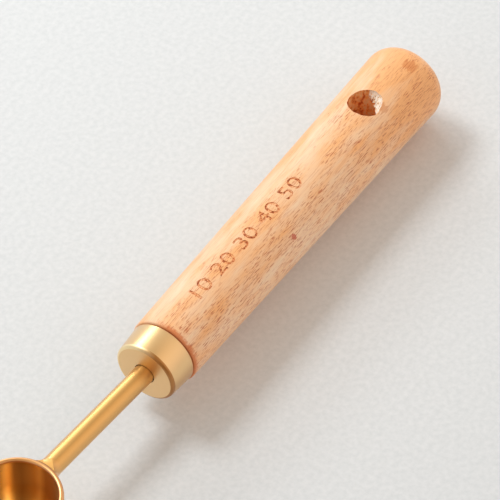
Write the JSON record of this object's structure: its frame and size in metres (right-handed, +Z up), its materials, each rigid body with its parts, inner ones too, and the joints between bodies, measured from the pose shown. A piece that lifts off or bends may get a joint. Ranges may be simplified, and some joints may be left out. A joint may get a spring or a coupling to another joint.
{
  "type": "measuring spoon",
  "caption": "Deep round measuring spoon bowl welded to a straight round rod, set through a ferrule cap into a tapered wooden handle with a hanging hole.",
  "frame": {"origin": "centre of the bowl's flat foot, on the surface that the spoon stands on", "axes": "+X from the bowl along the handle to the butt, +Z up out of the bowl's mouth, +Y completes the right-handed set"},
  "size_m": [0.1196, 0.0163, 0.015],
  "materials": {
    "bowl_metal": "satin, lightly brushed inside",
    "shank_metal": "satin, drawn along its length",
    "cap_metal": "fine bead-blasted satin",
    "handle_wood": "sanded bare beech-like hardwood with open pores",
    "glue": "cured epoxy"
  },
  "bodies": {
    "root": {"bowl": "bowl_metal", "bowl_weld": "bowl_metal", "shank": "shank_metal", "ferrule_cap": "cap_metal", "handle": "handle_wood", "tang_glue": "glue", "cap_glue": "glue"}
  },
  "joints": []
}
